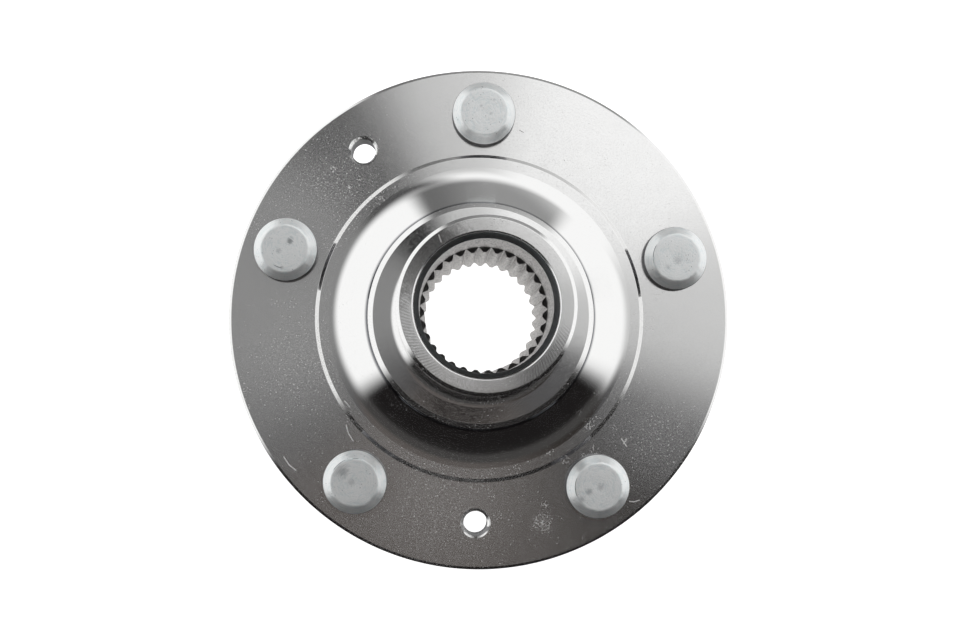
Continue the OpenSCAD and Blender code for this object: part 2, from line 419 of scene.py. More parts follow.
# How far each raises the next: clumps in the haze, specks in the clumps, specks in the marks.
clumps_in_haze, specks_in_clumps, specks_dull = 0.8, 0.11, 0.7
least_marked = 0.2
broad_height, mottle_height, grain_height = 0.5, 0.5, 0.4
mottle_roughens, marks_roughen = 0.06, 0.5


def node(tree, kind, links=(), **settings):
    """Adds a node, sets what is given by name and links its inputs by number or name."""
    made = tree.nodes.new(kind)
    for key, value in settings.items():
        setattr(made, key, value)
    for socket, source in links:
        if hasattr(source, "is_output"):
            tree.links.new(source, made.inputs[socket])
        else:
            made.inputs[socket].default_value = source
    return made


def maths(tree, operation, *values):
    return node(tree, "ShaderNodeMath", enumerate(values), operation=operation).outputs[0]


def soft_edge(tree, value, at, softness):
    """Rises from 0 to 1 as the value passes a place."""
    ranged = node(
        tree, "ShaderNodeMapRange",
        [("Value", value), ("From Min", at - softness), ("From Max", at + softness)],
        interpolation_type="SMOOTHSTEP",
    )
    return ranged.outputs[0]


def soft_fall(tree, value, at, softness):
    """Falls from 1 to 0 as the value passes a place."""
    return maths(tree, "SUBTRACT", 1.0, soft_edge(tree, value, at, softness))


def between(tree, value, start, start_softness, end, end_softness):
    """Is 1 between two places and 0 outside them."""
    after_start = soft_edge(tree, value, start, start_softness)
    return maths(tree, "MULTIPLY", after_start, soft_fall(tree, value, end, end_softness))


def blended(tree, factor, first, second, how="MIX"):
    colours = [(0, factor), (6, first), (7, second)]
    return node(tree, "ShaderNodeMix", colours, data_type="RGBA", blend_type=how).outputs[2]


def vectors(tree, operation, *values):
    result = node(tree, "ShaderNodeVectorMath", enumerate(values), operation=operation).outputs
    return result["Value"] if operation in ("LENGTH", "DOT_PRODUCT", "DISTANCE") else result["Vector"]


def noise(tree, vector, scale, detail, rough=0.6):
    settings = [("Vector", vector), ("Scale", scale), ("Detail", detail), ("Roughness", rough)]
    return node(tree, "ShaderNodeTexNoise", settings).outputs[0]


def ring_noise(tree, distance, scale, detail):
    settings = [("W", distance), ("Scale", scale), ("Detail", detail), ("Roughness", 0.6)]
    return node(tree, "ShaderNodeTexNoise", settings, noise_dimensions="1D").outputs[0]


def bumped(tree, depth, height):
    """The normal of a surface that rises by the depth where the height is 1."""
    settings = [("Strength", 1.0), ("Distance", depth), ("Height", height)]
    return node(tree, "ShaderNodeBump", settings).outputs[0]


def turned_by(tree, across, up):
    """How far a place is turned round its centre, from 0 to 360 degrees."""
    turns = maths(tree, "DIVIDE", maths(tree, "ARCTAN2", up, across), math.tau)
    return maths(tree, "MULTIPLY", maths(tree, "FRACT", turns), 360.0)


# Scratches and rubbed patches that handling has left on the flange, in millimetres from the axle.
scratches = [
    ((42.8, -50.35), (44.0, -50.45)),
    ((44.0, -50.45), (45.5, -50.0)),
    ((-53.5, -39.8), (-52.0, -42.0)),
    ((-52.0, -42.0), (-50.1, -43.4)),
    ((-36.5, -30.7), (-35.8, -33.0)),
    ((-35.8, -33.0), (-34.5, -35.0)),
    ((-37.0, -24.0), (-35.6, -25.6)),
    ((10.2, 53.2), (11.2, 52.6)),
    ((40.3, -33.0), (41.8, -35.1)),
    ((-11.9, 16.6), (-11.3, 15.0)),
]
scratch_w, scratch_softness = 0.12, 0.072
mark_dulls = 0.75
dust_all_over, dust_in_haze = 0.1, 0.34
dust_colour = (0.98, 0.97, 0.96, 1.0)
# Painted shade: the end face is darker between these angles round the axle, with a ragged edge. The same
# colour darkens the chatter marks.
chatter_and_painted_shade_colour = (0.40, 0.395, 0.39, 1.0)
painted_shade_from, painted_shade_to, painted_shade_softness = 112.0, 173.0, 14.0
painted_shade_per_m, painted_shade_ragged = 500.0, 50.0
# Where the facing tool chattered near the end face's edge, in degrees round the axle.
chatters = [(140.0, 235.0), (298.0, 345.0)]
chatter_softness = 10.0
chatter_pitch = 2.3
chatter_shows = (0.2, 0.5)
chatter_slant_per_m = 4000.0
chatter_inner_r = 18.6 * MM
chatter_dulls = 0.35
# Painted shade: a dark band in the neck's inner corner, standing for the dark line mirrored there.
painted_corner_shade_colour = (0.16, 0.165, 0.18, 1.0)
painted_corner_shade_reach = 0.45 * MM
hazes = [
    ((-42.0, 36.0), 24.0), ((50.0, -33.0), 20.0), ((18.6, -56.8), 5.0), ((-50.0, -14.0), 26.0),
    ((-12.0, -50.0), 30.0),
]
curled_patches = [
    ((31.0, -28.9), 2.6), ((33.5, -27.8), 1.6), ((33.0, -20.7), 1.6), ((20.1, -36.5), 2.0),
    ((28.0, -25.8), 1.6), ((38.4, -29.8), 1.4), ((41.0, -33.6), 1.5), ((32.9, -36.0), 2.0),
    ((24.7, -39.2), 2.0), ((30.1, -37.4), 1.4), ((18.6, -56.8), 3.6), ((19.2, -51.5), 1.6),
    ((-34.4, 38.8), 1.6), ((-37.4, 35.6), 1.6), ((-28.6, 32.4), 2.2), ((-42.0, 41.0), 2.0),
]


def scratch_marks(tree, flat_place):
    """Where the scratches run, each a short straight stroke with ends that fade."""
    in_mm = vectors(tree, "SCALE", flat_place)
    in_mm.node.inputs["Scale"].default_value = 1 / MM
    marks = 0.0
    for start, end in scratches:
        stroke = Vector((end[0] - start[0], end[1] - start[1], 0.0))
        from_start = vectors(tree, "SUBTRACT", in_mm, (*start, 0.0))
        run = vectors(tree, "DOT_PRODUCT", from_start, tuple(stroke))
        along = maths(tree, "DIVIDE", run, stroke.length_squared)
        along.node.use_clamp = True
        nearest = vectors(tree, "SCALE", tuple(stroke))
        tree.links.new(along, nearest.node.inputs["Scale"])
        off_line = vectors(tree, "DISTANCE", from_start, nearest)
        marks = maths(tree, "MAXIMUM", marks, soft_fall(tree, off_line, scratch_w, scratch_softness))
    return marks


def rubbed_places(tree, flat_place, patches):
    """Rises towards the middle of each rubbed patch."""
    rubbed = 0.0
    for centre, reach in patches:
        off_centre = vectors(tree, "DISTANCE", flat_place, (centre[0] * MM, centre[1] * MM, 0.0))
        patch = soft_fall(tree, off_centre, reach * MM / 2, reach * MM / 2)
        rubbed = maths(tree, "MAXIMUM", rubbed, patch)
    return rubbed


def machined_steel(name, roughness, grained, anisotropic, ring_depth, dusty, special):
    """Steel off the lathe: its rings spread what it mirrors along the half section; some finishes add
    painted shade.
    """
    steel = bpy.data.materials.new(name)
    steel.use_nodes = True
    tree = steel.node_tree
    shader = tree.nodes["Principled BSDF"]
    place = node(tree, "ShaderNodeTexCoord").outputs["Object"]
    parts = node(tree, "ShaderNodeSeparateXYZ", [(0, place)]).outputs
    flat_place = vectors(tree, "MULTIPLY", place, (1.0, 1.0, 0.0))
    from_axle = vectors(tree, "LENGTH", flat_place)
    along_section = vectors(tree, "SUBTRACT", vectors(tree, "NORMALIZE", flat_place), (0.0, 0.0, 1.0))
    along_cut = maths(tree, "MULTIPLY_ADD", parts[2], marks_lean, from_axle)
    fine_rings = ring_noise(tree, along_cut, spin_marks_per_m, 2.0)
    broad_rings = ring_noise(tree, along_cut, broad_marks_per_m, 3.0)
    mottle = noise(tree, place, mottle_per_m, 5.0, 0.65)
    grain = soft_edge(tree, noise(tree, place, grain_per_m, 3.0, 0.7), *grain_shows)

    haze = rubbed_places(tree, flat_place, hazes)
    clumps = soft_edge(tree, noise(tree, place, clumps_per_m, 3.0), *clumps_show)
    clumps = maths(tree, "MAXIMUM", clumps, maths(tree, "MULTIPLY", haze, clumps_in_haze))
    speck_noise = noise(tree, place, specks_per_m, 1.5)
    speck_level = maths(tree, "MULTIPLY_ADD", clumps, specks_in_clumps, speck_noise)
    specks = maths(tree, "MULTIPLY", soft_edge(tree, speck_level, *specks_show), specks_dull)
    off_curl = maths(tree, "SUBTRACT", noise(tree, place, curls_per_m, 2.0, 0.5), 0.5)
    curls = soft_fall(tree, maths(tree, "ABSOLUTE", off_curl), *curls_show)
    breaks = soft_edge(tree, noise(tree, place, breaks_per_m, 1.0), *breaks_show)
    in_patches = soft_edge(tree, rubbed_places(tree, flat_place, curled_patches), *patches_show)
    curls = maths(tree, "MULTIPLY", maths(tree, "MULTIPLY", curls, breaks), in_patches)
    marks = maths(tree, "MAXIMUM", specks, curls)
    marks = maths(tree, "MULTIPLY", marks, min(1.0, dusty + least_marked))
    marks = maths(tree, "MAXIMUM", marks, scratch_marks(tree, flat_place))

    height = maths(tree, "MULTIPLY_ADD", broad_rings, broad_height, fine_rings)
    height = maths(tree, "MULTIPLY_ADD", mottle, mottle_height, height)
    height = maths(tree, "MULTIPLY_ADD", grain, grain_height, height)
    uneven = maths(tree, "MULTIPLY_ADD", mottle, mottle_roughens, roughness)
    uneven = maths(tree, "MULTIPLY_ADD", maths(tree, "MULTIPLY", grain, fine_rings), grained, uneven)
    uneven = maths(tree, "MULTIPLY_ADD", marks, marks_roughen, uneven)

    colour = steel_colour
    if special == "painted corner shade":
        # The neck's inner corner is painted dark, as painted shade for the dark line mirrored there.
        out_of_painted_corner_shade = soft_edge(tree, from_axle, corner_x + painted_corner_shade_reach / 2, painted_corner_shade_reach)
        colour = blended(tree, out_of_painted_corner_shade, painted_corner_shade_colour, steel_colour)
    elif special == "painted_shade":
        # One side of the end face is painted darker, as painted shade; the chatter marks below are tool
        # marks.
        turn = turned_by(tree, parts[0], parts[1])
        painted_shade_noise = noise(tree, place, painted_shade_per_m, 4.0)
        turn_back = maths(tree, "SUBTRACT", turn, painted_shade_ragged / 2)
        ragged = maths(tree, "MULTIPLY_ADD", painted_shade_noise, painted_shade_ragged, turn_back)
        painted_shade = between(tree, ragged, painted_shade_from, painted_shade_softness, painted_shade_to, painted_shade_softness)
        colour = blended(tree, painted_shade, steel_colour, chatter_and_painted_shade_colour)
        along_edge = maths(tree, "MULTIPLY", turn, math.tau / chatter_pitch)
        wave = maths(tree, "MULTIPLY_ADD", from_axle, chatter_slant_per_m, along_edge)
        chatter = soft_edge(tree, maths(tree, "SINE", wave), *chatter_shows)
        for chatter_from, chatter_to in chatters:
            zone = between(tree, turn, chatter_from, chatter_softness, chatter_to, chatter_softness)
            zone = maths(tree, "MULTIPLY", zone, soft_edge(tree, from_axle, chatter_inner_r, MM / 2))
            depth = maths(tree, "MULTIPLY", maths(tree, "MULTIPLY", zone, chatter), chatter_dulls)
            colour = blended(tree, depth, colour, chatter_and_painted_shade_colour)

    dust = soft_edge(tree, noise(tree, place, dust_per_m, 4.0, 0.8), *dust_shows)
    dusted = maths(tree, "MULTIPLY_ADD", haze, dust_in_haze * dusty, dust_all_over * dusty)
    dust = maths(tree, "MULTIPLY", dust, dusted)
    dulled = maths(tree, "MAXIMUM", maths(tree, "MULTIPLY", marks, mark_dulls), dust)
    tree.links.new(blended(tree, dulled, colour, dust_colour), shader.inputs["Base Color"])
    tree.links.new(maths(tree, "SUBTRACT", 1.0, dulled), shader.inputs["Metallic"])
    shader.inputs["Anisotropic"].default_value = anisotropic
    tree.links.new(uneven, shader.inputs["Roughness"])
    tree.links.new(bumped(tree, ring_depth, height), shader.inputs["Normal"])
    tree.links.new(along_section, shader.inputs["Tangent"])
    return steel


# Name, roughness, what grain adds to it, anisotropy, depth of the rings, dust, and what is special:
# painted shade on the end face or in the neck's inner corner.
finishes = [
    ("turned_steel", 0.10, 0.10, 0.7, 0.0006 * MM, 1.0, None),
    ("faced_end", 0.12, 0.10, 1.0, 0.0008 * MM, 1.4, "painted_shade"),
    ("bright_shoulder", 0.04, 0.08, 0.4, 0.0004 * MM, 0.35, None),
    ("bright_neck", 0.05, 0.04, 0.4, 0.0004 * MM, 0.15, "painted corner shade"),
]
for finish in finishes:
    hub.data.materials.append(machined_steel(*finish))

# Finish of the bore
# The smooth bore and the spline's flanks keep the dull, streaked skin that the broach leaves. The
# lead-in cone and the ends of the teeth are darker cuts.
broached_colour = (0.385, 0.365, 0.35, 1.0)
streak_colour = (0.10, 0.093, 0.088, 1.0)
streaks_per_m, streaks_show = 2300.0, (0.54, 0.08)
streak_stretch = (1.0, 1.0, 0.2)
streak_depth = 0.03 * MM
broached_roughness = 0.42
cut_mottle_per_m, cut_mottle = 900.0, 0.1
lead_colour = (0.58, 0.62, 0.645, 1.0)
tooth_end_colour = (0.24, 0.245, 0.25, 1.0)
thread_colour = (0.33, 0.33, 0.335, 1.0)
broached = bpy.data.materials.new("broached_steel")
broached.use_nodes = True
tree = broached.node_tree
shader = tree.nodes["Principled BSDF"]
place = node(tree, "ShaderNodeTexCoord").outputs["Object"]
streaks = noise(tree, vectors(tree, "MULTIPLY", place, streak_stretch), streaks_per_m, 4.0, 0.75)
streaked = blended(tree, soft_edge(tree, streaks, *streaks_show), broached_colour, streak_colour)
tree.links.new(streaked, shader.inputs["Base Color"])
shader.inputs["Metallic"].default_value = 1.0
shader.inputs["Roughness"].default_value = broached_roughness
tree.links.new(bumped(tree, streak_depth, streaks), shader.inputs["Normal"])
hub.data.materials.append(broached)


def dark_cut(name, colour, roughness):
    """A dull cut surface with a little unevenness."""
    cut = bpy.data.materials.new(name)
    cut.use_nodes = True
    tree = cut.node_tree
    shader = tree.nodes["Principled BSDF"]
    place = node(tree, "ShaderNodeTexCoord").outputs["Object"]
    mottle = noise(tree, place, cut_mottle_per_m, 3.0)
    uneven = maths(tree, "MULTIPLY_ADD", mottle, cut_mottle, roughness)
    shader.inputs["Base Color"].default_value = colour
    shader.inputs["Metallic"].default_value = 1.0
    tree.links.new(uneven, shader.inputs["Roughness"])
    return cut


hub.data.materials.append(dark_cut("lead_cone", lead_colour, 0.25))
hub.data.materials.append(dark_cut("tooth_ends", tooth_end_colour, 0.3))
hub.data.materials.append(dark_cut("tapped_thread", thread_colour, 0.45))
TURNED, FACED, SHOULDER, NECK, BROACHED, LEAD, TOOTH_END, TAPPED = range(8)
tapped_places = [Vector(mounts[name]["pos_m"][:2]) for name in ("disc_screw_hole_1", "disc_screw_hole_2")]
UPRIGHT, LEVEL = 0.1, 0.99
for face in hub.data.polygons:
    face_r = math.hypot(face.center.x, face.center.y)
    face_z, up = face.center.z, face.normal.z
    if abs(up) < UPRIGHT and face_r < smooth_bore_r + edge_break and face_z > nut_seat_z:
        face.material_index = BROACHED
    elif up > UPRIGHT and face_r < lead_r and face_z > end_z - 2 * lead_l:
        face.material_index = LEAD
    elif up > UPRIGHT and face_r < smooth_bore_r and face_z > spline_top_z - 2 * lead_l:
        face.material_index = TOOTH_END
    elif up > LEVEL and face_z > end_z - edge_break:
        face.material_index = FACED
    elif up > LEVEL and abs(face_z - shoulder_z) < edge_break:
        face.material_index = SHOULDER
    elif shoulder_r - edge_break < face_r < hollow_foot[0] and ring_z < face_z < corner_z:
        face.material_index = NECK
    elif screw_chamfer < face_z < flange_face_z - screw_chamfer:
        off_holes = [(face.center.to_2d() - place).length for place in tapped_places]
        if min(off_holes) < screw_thread_r + edge_break:
            face.material_index = TAPPED
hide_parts("hub_flange")
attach(hub, "root")

# Wheel studs
# Cold-headed steel with a rolled M12 thread and a matte zinc plating. Each is pressed in from
# the bearing side, so that its serrated shank bites in the flange and its head seats on it.
STUD_STEPS = 96
stud_end_z = stud_low.z
head_top_z = stud_high.z
head_r = (stud_high.x - stud_low.x) / 2
head_chamfer = 2.2 * MM
head_edge_round = 0.45 * MM
dimple_r = 1.5 * MM
dimple_depth = 0.35 * MM
serrations = 36
serration_depth = 0.3 * MM
crest_r = stud_hole_r - 0.02 * MM
shank_end_z = 1.0 * MM
thread_r = mounts["wheel_studs"]["dims"]["stud_r_mm"] * MM
thread_pitch = 1.5 * MM
thread_root_r = 5.08 * MM
thread_root_flat = 0.25 * MM
taper_step = 0.08 * MM
point_r = 4.8 * MM
point_l = 2.2 * MM
point_chamfer = 0.6 * MM
thread_start_z = -1.2 * MM

stud_outline = [
    (0.0, head_top_z - dimple_depth),
    (dimple_r, head_top_z),
    (head_r - head_chamfer, head_top_z),
    (head_r, head_top_z - head_chamfer),
    (head_r, flange_face_z),
    (thread_r + taper_step, flange_face_z),
    (thread_r + taper_step, shank_end_z + cut_over),
    (thread_r, 0.0),
    (thread_r, stud_end_z + point_l + thread_r - point_r),
    (point_r, stud_end_z + point_l),
    (point_r, stud_end_z + point_chamfer),
    (point_r - point_chamfer, stud_end_z),
    (0.0, stud_end_z),
]
softer_head = broken_edges(stud_outline[:5], head_edge_round, closed=False)
stud = turned("wheel_stud", softer_head + stud_outline[5:], STUD_STEPS)
thread_turns = math.ceil((thread_start_z - stud_end_z - point_l) / thread_pitch)
groove = thread_groove(
    "die", thread_root_r, thread_root_flat, thread_r + edge_break, thread_pitch,
    thread_start_z - thread_turns * thread_pitch, thread_turns, (0.0, 0.0),
)
cut_away(stud, groove)

shank_outline = []
for i in range(2 * serrations):
    radius = crest_r - (i % 2) * serration_depth
    turn = i * math.pi / serrations
    shank_outline.append((radius * math.cos(turn), radius * math.sin(turn)))
shank = extruded("shank", shank_outline, shank_end_z, flange_face_z + cut_over)
cut_away(stud, shank, "UNION")
smoothed(stud)

zinc_dark = (0.87, 0.92, 0.93, 1.0)
zinc_worn = (0.22, 0.235, 0.25, 1.0)
zinc_light = (0.98, 1.0, 1.0, 1.0)
zinc_metallic = 0.6
# Painted shade: the head's round side is painted nearly black, standing for the shade there.
painted_side_shade_colour = (0.10, 0.10, 0.11, 1.0)
painted_shade_skin = 0.12 * MM
edge_wander, edge_wander_r, edge_wander_step = 0.022, 5.0, 7.0
swirl_turns, swirl_scale = 0.9, 2.6
blotches_per_m, zinc_grain_per_m = 420.0, 1900.0
swirl_tone, blotch_tone, grain_tone = 0.6, 0.4, 0.3
tone_shows = (0.61, 0.06)
zinc_roughness, tone_roughens = 0.2, 0.3
blotch_relief, grain_relief = 1.5, 0.6
zinc_relief = 0.045 * MM
# Where each head is smudged: place on the head and reach in millimetres, and how dark.
smudges = [
    [((1.9, -0.4), 0.5, 0.3), ((-0.9, 1.7), 0.5, 0.3), ((2.6, 3.4), 0.6, 0.25)],
    [((1.4, 2.1), 1.0, 0.75), ((-1.6, -0.6), 0.9, 0.3), ((-0.6, -5.2), 0.6, 0.4)],
    [((-0.8, 0.0), 1.3, 0.3), ((-3.4, 3.0), 2.2, 0.45)],
    [((0.6, 0.0), 1.1, 0.4), ((-2.6, -1.4), 1.2, 0.45), ((-4.6, -3.4), 1.0, 0.4)],
    [((0.3, -0.7), 1.5, 0.3), ((-2.4, -2.6), 1.0, 0.2)],
]
# Short dark laps in the plating: radius in millimetres, and the angles that each runs between.
laps = [[], [(5.4, 240.0, 264.0)], [(6.6, 76.0, 150.0)], [(6.5, 160.0, 215.0)], [(6.6, 150.0, 200.0)]]
lap_w, lap_softness, laps_show = 0.09, 6.0, (0.42, 0.08)
smudge_ragged, smudge_edge, smudge_softness = 1.6, 1.5, 0.6
pits_per_m, pits_show, pits_dark = 1100.0, (0.16, 0.05), 0.6
pitted_per_m, pitted_shows = 230.0, (0.56, 0.05)


def zinc_plating(name, centre, seed):
    """Dull zinc over the swirling marks that the heading die and the wear leave on a head, with painted
    shade on the head's side.
    """
    zinc = bpy.data.materials.new(name)
    zinc.use_nodes = True
    tree = zinc.node_tree
    shader = tree.nodes["Principled BSDF"]
    place = node(tree, "ShaderNodeTexCoord").outputs["Object"]
    centred = vectors(tree, "SUBTRACT", place, (*centre, seed * MM))
    on_head = vectors(tree, "MULTIPLY", centred, (1.0, 1.0, 0.0))
    from_centre = vectors(tree, "LENGTH", on_head)
    parts = node(tree, "ShaderNodeSeparateXYZ", [(0, centred)]).outputs
    wound = maths(tree, "MULTIPLY", maths(tree, "ARCTAN2", parts[1], parts[0]), swirl_turns)
    out = maths(tree, "MULTIPLY", from_centre, 1 / MM)
    round_centre = node(tree, "ShaderNodeCombineXYZ", [(0, out), (1, wound), (2, seed)]).outputs[0]
    swirls = noise(tree, round_centre, swirl_scale, 3.0, 0.7)
    blotches = noise(tree, centred, blotches_per_m, 4.0, 0.65)
    grain = noise(tree, centred, zinc_grain_per_m, 3.0, 0.7)
    tone = maths(tree, "MULTIPLY_ADD", swirls, swirl_tone, maths(tree, "MULTIPLY", blotches, blotch_tone))
    tone = maths(tree, "MULTIPLY_ADD", grain, grain_tone, tone)
    colour = blended(tree, soft_edge(tree, tone, *tone_shows), zinc_dark, zinc_light)

    dark = 0.0
    for spot, reach, depth in smudges[seed - 1]:
        off_spot = vectors(tree, "DISTANCE", on_head, (spot[0] * MM, spot[1] * MM, 0.0))
        ragged = maths(tree, "MULTIPLY_ADD", swirls, smudge_ragged * reach * MM, off_spot)
        smudge = soft_fall(tree, ragged, smudge_edge * reach * MM, smudge_softness * reach * MM)
        dark = maths(tree, "MAXIMUM", dark, maths(tree, "MULTIPLY", smudge, depth))
    degrees = turned_by(tree, parts[0], parts[1])
    broken = soft_edge(tree, blotches, *laps_show)
    for lap_r, lap_from, lap_to in laps[seed - 1]:
        off_lap = maths(tree, "ABSOLUTE", maths(tree, "SUBTRACT", from_centre, lap_r * MM))
        lap = soft_fall(tree, off_lap, lap_w * MM, lap_w * MM / 2)
        in_lap = between(tree, degrees, lap_from, lap_softness, lap_to, lap_softness)
        lap = maths(tree, "MULTIPLY", maths(tree, "MULTIPLY", lap, in_lap), broken)
        dark = maths(tree, "MAXIMUM", dark, lap)
    cells = node(tree, "ShaderNodeTexVoronoi", [("Vector", centred), ("Scale", pits_per_m)])
    pits = soft_fall(tree, cells.outputs["Distance"], *pits_show)
    pitted = soft_edge(tree, noise(tree, centred, pitted_per_m, 2.0), *pitted_shows)
    pits = maths(tree, "MULTIPLY", maths(tree, "MULTIPLY", pits, pitted), pits_dark)
    colour = blended(tree, maths(tree, "MAXIMUM", dark, pits), colour, zinc_worn)
    # The head's side is painted dark, as painted shade.
    on_painted_side_shade = soft_edge(tree, from_centre, head_r - painted_shade_skin, painted_shade_skin / 2)
    colour = blended(tree, on_painted_side_shade, colour, painted_side_shade_colour)

    height = maths(tree, "ADD", swirls, maths(tree, "MULTIPLY", grain, grain_relief))
    height = maths(tree, "MULTIPLY_ADD", blotches, blotch_relief, height)
    roughness = maths(tree, "MULTIPLY_ADD", tone, tone_roughens, zinc_roughness)
    shader.inputs["Metallic"].default_value = zinc_metallic
    tree.links.new(colour, shader.inputs["Base Color"])
    tree.links.new(roughness, shader.inputs["Roughness"])
    tree.links.new(bumped(tree, zinc_relief, height), shader.inputs["Normal"])
    return zinc


def worn_edge(piece, seed):
    """Lets the edge between a head's flat and its chamfer wander, as wear leaves it."""
    for point in piece.data.vertices:
        off_axis = math.hypot(point.co.x, point.co.y)
        on_flat_edge = off_axis > head_r - head_chamfer - head_edge_round
        if point.co.z > head_top_z - head_edge_round and on_flat_edge:
            turn = math.atan2(point.co.y, point.co.x)
            about = Vector((math.cos(turn), math.sin(turn), 0.0)) * edge_wander_r
            about.z = seed * edge_wander_step
            wander = 1 + edge_wander * fine_noise.noise(about)
            point.co.x *= wander
            point.co.y *= wander


for number, centre in enumerate(stud_places, 1):
    copy = stud.copy()
    copy.data = stud.data.copy()
    copy.name = f"stud_{number}"
    bpy.context.collection.objects.link(copy)
    turn = first_stud_angle + (number - 1) * math.tau / stud_count
    worn_edge(copy, number)
    copy.data.transform(Matrix.Translation((*centre, 0.0)) @ Matrix.Rotation(turn, 4, "Z"))
    copy.data.materials.append(zinc_plating(f"zinc_{number}", centre, number))
    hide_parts(f"wheel_stud_{number}")
    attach(copy, "root")
bpy.data.objects.remove(stud)

# Floor
# A pale sheet under the five stud ends. It looks white to the camera and in the metal, and
# keeps the hub's soft shadow.
floor_size = 6.0
floor_colour = (0.8, 0.8, 0.8, 1.0)
floor_white = 0.85

bpy.ops.mesh.primitive_plane_add(size=floor_size, location=(0.0, 0.0, stud_end_z))
floor = bpy.context.object
floor.name = "floor"
paper = bpy.data.materials.new("white_paper")
paper.use_nodes = True
tree = paper.node_tree
tree.nodes.remove(tree.nodes["Principled BSDF"])
seen = node(tree, "ShaderNodeLightPath")
seen_or_mirrored = maths(
    tree, "MAXIMUM", maths(tree, "MAXIMUM", seen.outputs["Is Camera Ray"], seen.outputs["Is Glossy Ray"]),
    seen.outputs["Is Transmission Ray"],
)
glow_strength = maths(tree, "MULTIPLY", seen_or_mirrored, floor_white)
glow = node(tree, "ShaderNodeEmission", [("Strength", glow_strength)])
matte = node(tree, "ShaderNodeBsdfDiffuse", [("Color", floor_colour)])
both = node(tree, "ShaderNodeAddShader", [(0, glow.outputs[0]), (1, matte.outputs[0])])
tree.links.new(both.outputs[0], tree.nodes["Material Output"].inputs["Surface"])
floor.data.materials.append(paper)

# Light tent
# A white cloth dome over the hub, lit evenly all round. Dark panels with soft edges hang in it,
# where the photographed steel is dark: overhead beside the lens, in front, and low behind. Mats
# on the floor, seen in the metal alone, carry the same panels on below the dome.
tent_r = 2.5
tent_segments, tent_rings = 64, 32
mat_inner_r, mat_segments = 0.1, 96
mat_gap = 0.5 * MM
cloth_light = 1.08
lens_place = (0.031, 0.054, 0.0)
bright_from, bright_from_softness = -18.0, 10.0
bright_to, bright_to_softness = 115.0, 9.0
white_from, white_from_softness = 22.0, 12.0
white_to, white_to_softness = 84.0, 10.0
side_grey = (0.62, 0.62, 0.62, 1.0)
far_off, far_off_softness = 0.42, 0.25
far_widens = 9.0
dark_reach, dark_softness = 0.14, 0.05
near_lens, near_lens_softness = 0.085, 0.02
near_lens_grey = (0.75, 0.75, 0.75, 1.0)
window_side = 165.0
window_edge = 0.5
window_softness = 0.22
overhead_grey = (0.25, 0.25, 0.25, 1.0)
overhead_near = (0.004, 0.004, 0.004, 1.0)
overhead_far = (0.08, 0.079, 0.08, 1.0)
overhead_dark = (0.08, 0.079, 0.081, 1.0)
graded_from, graded_to, graded_softness = 90.0, 150.0, 10.0
grey_later, grey_later_off, grey_later_softness = 20.0, 0.062, 0.006
grey_from, grey_from_softness = 143.0, 8.0
grey_to, grey_to_softness = 205.0, 20.0
front_brown = (0.205, 0.184, 0.174, 1.0)
front_dim = (0.065, 0.058, 0.054, 1.0)
front_far = (0.5, 0.5, 0.5, 1.0)
dim_from, dim_softness = 288.0, 20.0
camera_centre, camera_reach, camera_softness = (0.017, -0.004, 0.0), 0.046, 0.006
camera_black = (0.015, 0.0135, 0.013, 1.0)
front_from, front_to = 211.0, 336.0
front_softness = 6.0
front_grey = (0.055, 0.053, 0.052, 1.0)
front_black = (0.011, 0.010, 0.010, 1.0)
front_low, front_low_softness = 27.0, 9.0
front_lowest, front_lowest_softness = 64.0, 16.0
back_from, back_to = 52.0, 117.0
back_softness = 5.0
back_top, back_top_softness = 62.0, 19.0
back_slope = 0.45
back_middle = 85.0
back_grey = (0.30, 0.30, 0.30, 1.0)
back_dark = (0.15, 0.15, 0.15, 1.0)
back_darkens, back_darkens_softness = 97.0, 14.0
pure_white = (1.0, 1.0, 1.0, 1.0)

bpy.ops.mesh.primitive_uv_sphere_add(segments=tent_segments, ring_count=tent_rings, radius=tent_r)
tent = bpy.context.object
tent.name = "light_tent"
bpy.ops.object.mode_set(mode="EDIT")
bpy.ops.mesh.select_all(action="SELECT")
bpy.ops.mesh.bisect(plane_co=(0, 0, stud_end_z), plane_no=(0, 0, 1), clear_inner=True)
bpy.ops.object.mode_set(mode="OBJECT")
tent.visible_camera = False

cloth = bpy.data.materials.new("tent_cloth")
cloth.use_nodes = True
cloth.cycles.emission_sampling = "NONE"
tree = cloth.node_tree
tree.nodes.remove(tree.nodes["Principled BSDF"])


def toward(tree, direction, degrees):
    """How far a direction leans to one side of the axle."""
    side = (math.cos(math.radians(degrees)), math.sin(math.radians(degrees)), 0.0)
    return vectors(tree, "DOT_PRODUCT", direction, side)


place = node(tree, "ShaderNodeTexCoord").outputs["Object"]
direction = vectors(tree, "NORMALIZE", place)
leaning = vectors(tree, "MULTIPLY", direction, (1.0, 1.0, 0.0))
parts = node(tree, "ShaderNodeSeparateXYZ", [(0, direction)]).outputs
round_axle = turned_by(tree, parts[0], parts[1])
off_axle = maths(tree, "DEGREES", maths(tree, "ARCCOSINE", parts[2]))

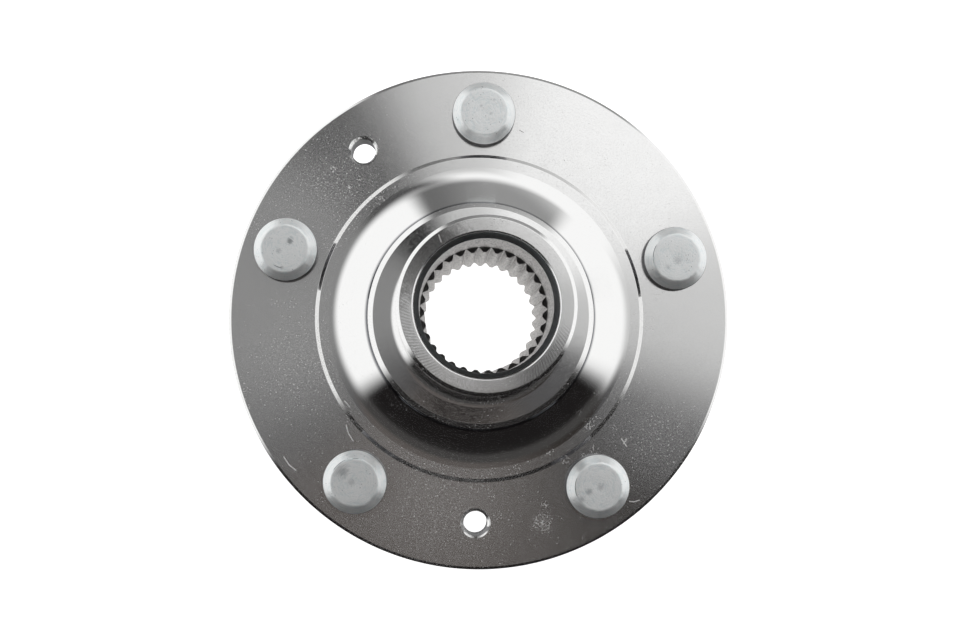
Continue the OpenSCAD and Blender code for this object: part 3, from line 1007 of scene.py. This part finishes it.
from_lens = vectors(tree, "SUBTRACT", leaning, lens_place)
off_lens = vectors(tree, "LENGTH", from_lens)
lens_parts = node(tree, "ShaderNodeSeparateXYZ", [(0, from_lens)]).outputs
round_lens = maths(tree, "DEGREES", maths(tree, "ARCTAN2", lens_parts[1], lens_parts[0]))
lens_circle = turned_by(tree, lens_parts[0], lens_parts[1])
far = soft_edge(tree, off_lens, far_off, far_off_softness)
beyond_lens = between(
    tree, maths(tree, "MULTIPLY_ADD", far, far_widens, round_lens),
    bright_from, bright_from_softness, bright_to, bright_to_softness,
)
whitest = between(tree, round_lens, white_from, white_from_softness, white_to, white_to_softness)
whitest = maths(tree, "MAXIMUM", whitest, far)
white = blended(tree, whitest, side_grey, pure_white)
off_near_lens = soft_edge(tree, off_lens, near_lens, near_lens_softness)
shaded = blended(tree, off_near_lens, near_lens_grey, pure_white)
white = blended(tree, 1.0, white, shaded, "MULTIPLY")
by_reach = soft_edge(tree, off_lens, dark_reach, dark_softness)
beside_lens = soft_fall(tree, off_lens, grey_later_off, grey_later_softness)
grey_turn = maths(tree, "MULTIPLY_ADD", beside_lens, -grey_later, lens_circle)
grey_side = between(tree, grey_turn, grey_from, grey_from_softness, grey_to, grey_to_softness)
graded = between(tree, lens_circle, graded_from, graded_softness, graded_to, graded_softness)
overhead = blended(tree, graded, overhead_dark, blended(tree, by_reach, overhead_near, overhead_far))
overhead = blended(tree, grey_side, overhead, overhead_grey)
off_camera = vectors(tree, "DISTANCE", leaning, camera_centre)
out_of_camera = soft_edge(tree, off_camera, camera_reach, camera_softness)
overhead = blended(tree, out_of_camera, camera_black, overhead)
beyond_window = soft_edge(tree, toward(tree, direction, window_side), window_edge, window_softness)
left_side = blended(tree, beyond_window, overhead, pure_white)
tone = blended(tree, beyond_lens, left_side, white)

front = blended(tree, soft_edge(tree, lens_circle, dim_from, dim_softness), front_brown, front_dim)
front = blended(tree, by_reach, front, front_far, "MULTIPLY")
front = blended(tree, out_of_camera, camera_black, front)
low = soft_edge(tree, off_axle, front_low, front_low_softness)
lowest = soft_edge(tree, off_axle, front_lowest, front_lowest_softness)
front = blended(tree, lowest, blended(tree, low, front, front_grey), front_black)
in_front = between(tree, round_axle, front_from, front_softness, front_to, front_softness)
tone = blended(tree, in_front, tone, front)

behind = between(tree, round_axle, back_from, back_softness, back_to, back_softness)
from_middle = maths(tree, "SUBTRACT", round_axle, back_middle)
sloping = maths(tree, "MULTIPLY_ADD", from_middle, back_slope, off_axle)
low_behind = maths(tree, "MULTIPLY", behind, soft_edge(tree, sloping, back_top, back_top_softness))
darkened = soft_edge(tree, round_axle, back_darkens, back_darkens_softness)
tone = blended(tree, low_behind, tone, blended(tree, darkened, back_grey, back_dark))
glow = node(tree, "ShaderNodeEmission", [("Color", tone), ("Strength", cloth_light)])
tree.links.new(glow.outputs[0], tree.nodes["Material Output"].inputs["Surface"])
tent.data.materials.append(cloth)

bpy.ops.mesh.primitive_circle_add(
    vertices=mat_segments, radius=mat_inner_r, location=(0.0, 0.0, stud_end_z + mat_gap)
)
mats = bpy.context.object
mats.name = "floor_mats"
bpy.ops.object.transform_apply(location=True)
bpy.ops.object.mode_set(mode="EDIT")
bpy.ops.mesh.select_all(action="SELECT")
bpy.ops.mesh.extrude_region_move()
bpy.ops.transform.resize(value=(tent_r / mat_inner_r, tent_r / mat_inner_r, 1.0))
bpy.ops.object.mode_set(mode="OBJECT")
mats.visible_camera = mats.visible_diffuse = mats.visible_shadow = False
mats.data.materials.append(cloth)

world = bpy.data.worlds.new("white_room")
bpy.context.scene.world = world
world.use_nodes = True
world.node_tree.nodes["Background"].inputs["Color"].default_value = pure_white
world.node_tree.nodes["Background"].inputs["Strength"].default_value = 1.0

scene = bpy.context.scene
scene.view_settings.view_transform = "Standard"
